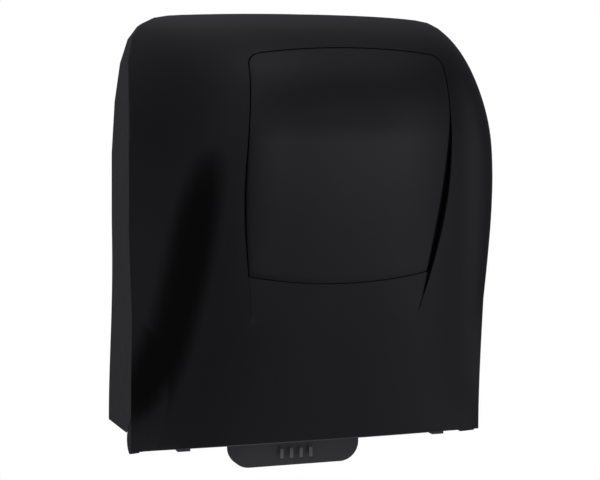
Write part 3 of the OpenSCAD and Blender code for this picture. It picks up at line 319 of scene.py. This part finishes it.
def three(low, mid, high, z):
    """Ease between a value at the lower edge, one at the widest height and one on top."""
    if z < WIDE_Z:
        return mid + (low - mid) * ease(clip01((WIDE_Z - z) / (WIDE_Z - Z_BOT)))
    return mid + (high - mid) * ease(clip01((z - WIDE_Z) / (Z_TOP - WIDE_Z)))


def front_d(z):
    """Depth of the front on the centre line: it tapers below the belly and rounds over above it."""
    if z < BELLY_Z:
        return BODY_D - (BODY_D - BOTTOM_D) * clip01((BELLY_Z - z) / (BELLY_Z - Z_BOT)) ** BELLY_POW
    rise = clip01((z - BELLY_Z) / (Z_TOP - BELLY_Z))
    return PART_TOP + (BODY_D - PART_TOP) * (1 - rise ** BROW_RISE) ** (1 / BROW_POW)


def half_w(z):
    """Half the width of the cover at a height."""
    return three(BOTTOM_W / 2, BODY_W / 2, BODY_W / 2, z)


def part_d(z):
    """Depth of the parting line between cover and housing."""
    if z < WIDE_Z:
        return three(PART_LOW, PART_MID, PART_TOP, z)
    return PART_MID + (PART_TOP - PART_MID) * ease(clip01((z - WIDE_Z) / (Z_TOP - WIDE_Z)) ** PART_BEND)


def corner_k(z):
    """Share of the half width that the rounded upper corners leave at a height."""
    return (1 - clip01((z - CORNER_Z) / (Z_TOP - CORNER_Z)) ** CORNER_UP) ** (1 / CORNER_OUT)


def rim_z(u):
    """Height of the upper rim at a share of the half width."""
    return CORNER_Z + (Z_TOP - CORNER_Z) * (1 - min(1.0, abs(u)) ** CORNER_OUT) ** (1 / CORNER_UP)


def low_z(u):
    """Height of the lower edge, which drops a little towards its corners."""
    return Z_BOT - EDGE_DROP * abs(u) ** EDGE_POW


def skin_d(x, z, at_rim=False):
    """Depth of the outer skin, full in the middle and rounding back to the parting line."""
    s = 1.0 if at_rim else min(1.0, abs(x) / half_w(z) / max(0.001, corner_k(z)))
    return front_d(z) - (front_d(z) - part_d(z)) * s ** FLANK_POW


def crowned(x, z):
    """Height with the crown: the upper rows sag towards both sides."""
    return z - CROWN * (x / half_w(z)) ** 2 * max(0.0, z / Z_TOP)


def field_w(z):
    """Half the width of the centre field, with its rounded upper corners."""
    k = clip01((z - PANEL_TOP + PANEL_DROP + PANEL_CORNER) / PANEL_CORNER)
    straight = three(FIELD_FOOT, PANEL_W / 2, PANEL_W / 2 - FIELD_DRAW, z)
    return straight - PANEL_CORNER * (1 - math.sqrt(1 - k * k))


def step_d(z):
    """Depth of the step beside the centre field."""
    off = (z - STEP_Z) / STEP_HALF
    return STEP_H * math.cos(math.pi / 2 * off) ** STEP_POW if abs(off) < 1 else 0.0


def slope_w(z):
    """Width of the step, seen from the front."""
    return SEAM + STEP_SLOPE * step_d(z)


TOP_W = field_w(PANEL_TOP)


def over(share, side, t):
    """Share of the half width at which a grid column stands, when the field takes the given share."""
    return abs(t) * share if side == 0 else share + (1 - share) * math.sin(math.pi / 2 * t)


def field_low(side, t):
    """Lower edge of the centre field, which curves up at both ends."""
    return PANEL_LOW + PANEL_RISE * (t * t if side == 0 else 1.0)


def rim_of(side, t):
    """Height at which a column of the grid meets the upper rim."""
    return rim_z(over(TOP_W / (BODY_W / 2), side, t))


FIELD_SHARE = (PANEL_TOP - PANEL_DROP - field_low(1, 0)) / (rim_of(1, 0) - field_low(1, 0))


def field_top(side, t):
    """Upper edge of the centre field and of the grid rows beside it."""
    if side == 0:
        return PANEL_TOP - PANEL_DROP * t * t
    return field_low(1, 0) + (rim_of(side, t) - field_low(1, 0)) * FIELD_SHARE


def row_z(band, v, side, t):
    """Height of a grid point: below, beside or above the field, closer rows towards the top."""
    low, a, b = low_z(over(FOOT_SHARE, side, t)), field_low(side, t), field_top(side, t)
    if band == 0:
        return low + (a - SEAM - low) * v
    if band == 1:
        return a + (b - a) * (1 - (1 - v) ** FIELD_CLOSER)
    return b + SEAM + (rim_of(side, t) - b - SEAM) * (1 - (1 - v) ** TOP_CLOSER)


def col_x(side, t, z, band):
    """Place of a grid point across: on the field, or out on a flank."""
    w = TOP_W if band == 2 else field_w(z)
    e = w + slope_w(z)
    return t * w if side == 0 else side * (e + (half_w(z) - e) * math.sin(math.pi / 2 * t))


def sunk(side, t, z):
    """How far the centre field lies behind the skin around it."""
    return step_d(z) * t * t if side == 0 else 0.0


def lip(height):
    """How far the rounded lower edge draws back at a height above the edge."""
    return LIP_R - math.sqrt(LIP_R ** 2 - (LIP_R - height) ** 2) if height < LIP_R else 0.0


def skin_pt(band, v, side, t):
    """Point on the outer skin, with the pocket for the panel and the rounded lower edge."""
    z = row_z(band, v, side, t)
    x = col_x(side, t, z, band)
    pocket = POCKET if side == 0 and band == 1 else 0.0
    d = skin_d(x, z, band == 2 and v == 1) - sunk(side, t, z) - pocket
    d -= lip(z - low_z(over(FOOT_SHARE, side, t)))
    return Vector((x, -d, crowned(x, z)))


def to_rim(band, v, side, t):
    """Shift that lets the upper flank end on the housing's rim, which runs in straight pieces."""
    if side == 0 or band < 2:
        return Vector()
    k = min(RIM_COLS - 1, int(t * RIM_COLS))
    a, b = skin_pt(2, 1, side, k / RIM_COLS), skin_pt(2, 1, side, (k + 1) / RIM_COLS)
    return (a.lerp(b, t * RIM_COLS - k) - skin_pt(2, 1, side, t)) * v ** RIM_POW


def outer_pt(band, v, side, t):
    """Outer point of the shell, no wider than the solid."""
    x, y, z = skin_pt(band, v, side, t) + to_rim(band, v, side, t)
    return max(-WIDEST, min(WIDEST, x)), y, z


def inner_pt(band, v, side, t):
    """Inner point of the shell, one wall behind the skin and behind the step."""
    z = row_z(band, v, side, t)
    x = col_x(side, t, z, band)
    low, part = low_z(over(FOOT_SHARE, side, t)), part_d(z)
    full = max(0.01, front_d(z) - part)
    behind = sunk(side, t, z) if side == 0 else step_d(z) * (
        1 - ease(clip01((abs(x) - field_w(z) - slope_w(z) - BACKING_START) / BACKING_RUN)))
    d = part + (skin_d(x, z, band == 2 and v == 1) - part) * max(0.0, 1 - (SHELL_T + behind) / full)
    up = low + (crowned(x, z) - low) * (1 - SHELL_T / (Z_TOP - low))
    return Vector((x * (WIDEST - SHELL_T) / half_w(z), -d, up)) + to_rim(band, v, side, t)


def shell_mesh(name, outside, inside, n_rows, n_cols):
    """Closed shell between two grids; its outer rim gets a rounding weight."""
    n = n_rows * n_cols
    faces = []
    for r in range(n_rows - 1):
        for c in range(n_cols - 1):
            a, b = r * n_cols + c, (r + 1) * n_cols + c
            faces.append((a, a + 1, b + 1, b))
            faces.append((n + a, n + b, n + b + 1, n + a + 1))
    last = (n_rows - 1) * n_cols
    for c in range(n_cols - 1):
        faces.append((c, n + c, n + c + 1, c + 1))
        faces.append((last + c, last + c + 1, n + last + c + 1, n + last + c))
    for r in range(n_rows - 1):
        a, b = r * n_cols, (r + 1) * n_cols
        e, f = a + n_cols - 1, b + n_cols - 1
        faces.append((a, b, n + b, n + a))
        faces.append((e, n + e, n + f, f))
    mesh = bpy.data.meshes.new(name)
    mesh.from_pydata([[c * MM for c in p] for p in outside + inside], [], faces)
    weights = mesh.attributes.new("bevel_weight_edge", "FLOAT", "EDGE")
    rim_rows, rim_cols = (0, n_rows - 1), (0, n_cols - 1)
    for edge in mesh.edges:
        i, j = edge.vertices
        if i >= n or j >= n:
            continue
        (ri, ci), (rj, cj) = divmod(i, n_cols), divmod(j, n_cols)
        if (ri == rj and ri in rim_rows) or (ci == cj and ci in rim_cols):
            weights.data[edge.index].value = 1.0
    return mesh


def smooth_piece(name, mesh, material, body, rim, cutter=None):
    """Make an object of a mesh: round its weighted edges, cut it, smooth it and let it ride."""
    piece = bpy.data.objects.new(name, mesh)
    scene.collection.objects.link(piece)
    mesh.materials.append(material)
    mesh.polygons.foreach_set("use_smooth", [True] * len(mesh.polygons))
    rounding = piece.modifiers.new("rounded", "BEVEL")
    rounding.width = rim * MM
    rounding.segments = 2
    rounding.limit_method = "WEIGHT"
    if cutter:
        hole = piece.modifiers.new("hole", "BOOLEAN")
        hole.object = cutter
        hole.solver = "EXACT"
        hole.use_self = True
    split = piece.modifiers.new("creases", "EDGE_SPLIT")
    split.split_angle = math.radians(SKIN_CREASE)
    made = bpy.data.meshes.new_from_object(piece.evaluated_get(bpy.context.evaluated_depsgraph_get()))
    piece.modifiers.clear()
    piece.data = made
    if cutter:
        bpy.data.objects.remove(cutter)
    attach(piece, body)
    return piece


cover_cols = [(-1, 1 - i / FLANK_COLS) for i in range(FLANK_COLS + 1)]
cover_cols += [(0, -1 + 2 * i / FIELD_COLS) for i in range(FIELD_COLS + 1)]
cover_cols += [(1, i / FLANK_COLS) for i in range(FLANK_COLS + 1)]
lip_share = LIP_R / (PANEL_LOW - Z_BOT)
cover_rows = [(0, lip_share * (1 - math.cos(math.pi / 2 * i / LIP_ROWS))) for i in range(LIP_ROWS)]
cover_rows += [(0, lip_share + (1 - lip_share) * i / LOW_ROWS) for i in range(LOW_ROWS + 1)]
cover_rows += [(1, i / FIELD_ROWS) for i in range(FIELD_ROWS + 1)]
cover_rows += [(2, i / TOP_ROWS) for i in range(TOP_ROWS + 1)]
cover_mesh = shell_mesh(
    "cover_shell",
    [outer_pt(*r, *c) for r in cover_rows for c in cover_cols],
    [inner_pt(*r, *c) for r in cover_rows for c in cover_cols],
    len(cover_rows), len(cover_cols))
lock_low, lock_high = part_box("lock_case")
bpy.ops.mesh.primitive_cylinder_add(vertices=BORE_SIDES, radius=LOCK_BORE_R * MM, depth=LOCK_BORE_LONG * MM,
                                    location=(0, (lock_low.y + lock_high.y) / 2, Z_TOP * MM))
lock_bore = bpy.context.object
cover_gloss = moulded_plastic("cover_gloss", (0.0019, 0.0019, 0.002), 0.06, grain=260.0, depth=0.004,
                              patches=9.0, wave=1.0, uneven=0.16)
cover_shell = smooth_piece("cover_shell", cover_mesh, cover_gloss, "cover", COVER_ROUND, cutter=lock_bore)
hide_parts("front_cover")
dress("hinge_tabs", cover_gloss)

# Front panel: thin separate sheet in the cover's pocket, with a seam all round.
# The same black plastic with a softer gloss, so it looks a little paler than the cover.
# It follows the centre field and dips at both sides together with the step.
panel_mid = (PANEL_TOP + PANEL_LOW) / 2
panel_shrink = 1 - 2 * SEAM / (PANEL_TOP - PANEL_LOW)
SEAM_AT_W = 70.0  # half width at which the side seam is as wide as SEAM; it grows with the width


def panel_pt(v, t, deep):
    """Point of the panel, a seam smaller than its pocket all round."""
    z0 = row_z(1, v, 0, t)
    z = panel_mid + (z0 - panel_mid) * panel_shrink
    x = col_x(0, t, z0, 1) * (1 - SEAM / SEAM_AT_W)
    return x, -(skin_d(x, z) - sunk(0, t, z0) - deep), crowned(x, z)


panel_rows = [i / FIELD_ROWS for i in range(FIELD_ROWS + 1)]
panel_cols = [-1 + 2 * i / FIELD_COLS for i in range(FIELD_COLS + 1)]
panel_mesh = shell_mesh(
    "inset_panel",
    [panel_pt(v, t, 0.0) for v in panel_rows for t in panel_cols],
    [panel_pt(v, t, PANEL_T) for v in panel_rows for t in panel_cols],
    len(panel_rows), len(panel_cols))
panel_satin = moulded_plastic("panel_satin", (0.003, 0.003, 0.0032), 0.08, grain=300.0, depth=0.004,
                              patches=9.0, wave=1.0, uneven=0.12)
inset_panel = smooth_piece("inset_panel", panel_mesh, panel_satin, "cover", PANEL_ROUND)
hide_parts("front_panel")

# Stage: plain pale floor well below the part, a white background and soft studio light.
# The background is white to the camera, and behind the part to metal and gloss as well.
# The camera stands where the photograph was taken from: to the left, slightly above.
FLOOR_SIZE, FLOOR_Z = 12.0, -0.62
bpy.ops.mesh.primitive_plane_add(size=FLOOR_SIZE, location=(0, 0, FLOOR_Z))
floor = bpy.context.object
floor.name = "floor"
floor_paint = bpy.data.materials.new("floor_paint")
floor_paint.use_nodes = True
paint_nodes, paint_links = floor_paint.node_tree.nodes, floor_paint.node_tree.links
paint_nodes["Principled BSDF"].inputs["Base Color"].default_value = (0.8, 0.8, 0.8, 1)
paint_nodes["Principled BSDF"].inputs["Roughness"].default_value = 0.9
white_paint = paint_nodes.new("ShaderNodeEmission")
white_paint.inputs["Strength"].default_value = 1.0
paint_path = paint_nodes.new("ShaderNodeLightPath")
paint_mix = paint_nodes.new("ShaderNodeMixShader")
paint_links.new(paint_path.outputs["Is Camera Ray"], paint_mix.inputs["Fac"])
paint_links.new(paint_nodes["Principled BSDF"].outputs["BSDF"], paint_mix.inputs[1])
paint_links.new(white_paint.outputs["Emission"], paint_mix.inputs[2])
paint_links.new(paint_mix.outputs["Shader"], paint_nodes["Material Output"].inputs["Surface"])
floor.data.materials.append(floor_paint)
floor.visible_glossy = False

world = bpy.data.worlds.new("studio")
scene.world = world
world.use_nodes = True
sky_nodes, sky_links = world.node_tree.nodes, world.node_tree.links
studio_light = sky_nodes["Background"]
white_back = sky_nodes.new("ShaderNodeBackground")
white_back.inputs["Color"].default_value = (1, 1, 1, 1)
look_at = sky_nodes.new("ShaderNodeTexCoord")


def towards(turn, tilt):
    """How squarely a look faces a heading: degrees to the right of the front, and above the horizon."""
    turn, tilt = math.radians(turn), math.radians(tilt)
    facing = sky_nodes.new("ShaderNodeVectorMath")
    facing.operation = "DOT_PRODUCT"
    facing.inputs[1].default_value = (
        math.sin(turn) * math.cos(tilt), -math.cos(turn) * math.cos(tilt), math.sin(tilt))
    sky_links.new(look_at.outputs["Generated"], facing.inputs[0])
    return facing.outputs["Value"]


studio_glow = None
for turn, tilt, sharp, strength in (
    (45, -25, 4.5, 0.33),      # broad dim wall in front, to the right
    (30, -15, 25.0, 0.2),      # its brightest part
    (-5, -20, 18.0, 0.24),     # the same wall, straight in front
    (-40, 0, 6.0, 0.12),       # the wall on the left
    (-105, -50, 3.0, 0.23),    # pale floor on the left
    (100, -5, 15.0, 0.1),      # dim wall on the right
    (-175, 35, 8.0, 0.08),     # ceiling behind
    (-25, 65, 2.5, 0.4),       # ceiling above
    (160, -75, 14.0, 0.8),     # white floor below and behind
    (160, -5, 200.0, 1.0),     # white backdrop, straight behind the part
):
    narrow = sky_nodes.new("ShaderNodeMath")
    narrow.operation = "MULTIPLY_ADD"
    narrow.inputs[1].default_value = sharp
    narrow.inputs[2].default_value = math.log(strength) - sharp
    sky_links.new(towards(turn, tilt), narrow.inputs[0])
    lobe = sky_nodes.new("ShaderNodeMath")
    lobe.operation = "EXPONENT"
    sky_links.new(narrow.outputs[0], lobe.inputs[0])
    if studio_glow is None:
        studio_glow = lobe.outputs[0]
    else:
        total = sky_nodes.new("ShaderNodeMath")
        total.operation = "ADD"
        sky_links.new(studio_glow, total.inputs[0])
        sky_links.new(lobe.outputs[0], total.inputs[1])
        studio_glow = total.outputs[0]

# One soft unlit gap on the left, which the cover's rounded corner mirrors as a dark stripe.
GAP_TURN, GAP_TILT, GAP_EDGE, GAP_CORE, GAP_LIGHT = -66, -26, 24, 6, 0.08
unlit_gap = sky_nodes.new("ShaderNodeMapRange")
unlit_gap.interpolation_type = "SMOOTHSTEP"
unlit_gap.inputs["From Min"].default_value = math.cos(math.radians(GAP_EDGE))
unlit_gap.inputs["From Max"].default_value = math.cos(math.radians(GAP_CORE))
unlit_gap.inputs["To Min"].default_value = 1.0
unlit_gap.inputs["To Max"].default_value = GAP_LIGHT
sky_links.new(towards(GAP_TURN, GAP_TILT), unlit_gap.inputs["Value"])
with_gap = sky_nodes.new("ShaderNodeMath")
with_gap.operation = "MULTIPLY"
sky_links.new(studio_glow, with_gap.inputs[0])
sky_links.new(unlit_gap.outputs["Result"], with_gap.inputs[1])
sky_links.new(with_gap.outputs[0], studio_light.inputs["Strength"])
studio_light.inputs["Color"].default_value = (1.0, 0.99, 1.12, 1)
sky_path = sky_nodes.new("ShaderNodeLightPath")
sky_mix = sky_nodes.new("ShaderNodeMixShader")
sky_links.new(sky_path.outputs["Is Camera Ray"], sky_mix.inputs["Fac"])
sky_links.new(studio_light.outputs["Background"], sky_mix.inputs[1])
sky_links.new(white_back.outputs["Background"], sky_mix.inputs[2])
sky_links.new(sky_mix.outputs["Shader"], sky_nodes["World Output"].inputs["Surface"])

lens_mm, sensor_mm = 95.66, 36.0
yaw, lift, reach = math.radians(-18.51), math.radians(4.70), 1.42065
aim_point = Vector((0.0, -0.07236, -0.01442))
back = Vector((math.sin(yaw) * math.cos(lift), -math.cos(yaw) * math.cos(lift), math.sin(lift)))
camera_data = bpy.data.cameras.new("photo_camera")
camera_data.lens = lens_mm
camera_data.sensor_width = sensor_mm
camera_data.clip_start, camera_data.clip_end = 0.05, 50
camera = bpy.data.objects.new("photo_camera", camera_data)
scene.collection.objects.link(camera)
camera.location = aim_point + back * reach
camera.rotation_euler = (-back).to_track_quat("-Z", "Y").to_euler()
scene.camera = camera


def soft_box(name, place, aim, size, power):
    """Studio lamp aimed at a point, screened so that the gloss doesn't mirror it."""
    lamp = bpy.data.lights.new(name, "AREA")
    lamp.shape = "RECTANGLE"
    lamp.size, lamp.size_y = size
    lamp.energy = power
    box = bpy.data.objects.new(name, lamp)
    scene.collection.objects.link(box)
    box.location = place
    box.rotation_euler = (Vector(aim) - Vector(place)).to_track_quat("-Z", "Y").to_euler()
    box.visible_glossy = False


soft_box("lamp_right", (1.2, -1.0, 0.5), (0, -0.1, 0), (1.0, 1.0), 16)
soft_box("lamp_left", (-1.5, -0.5, 0.4), (0, -0.1, 0), (1.0, 1.2), 22)
soft_box("lamp_top", (0.0, -0.2, 1.4), (0, -0.1, 0), (1.4, 1.2), 16)
soft_box("lamp_rear", (0.3, 1.5, 0.5), (0, 0.0, 0), (1.2, 1.0), 14)
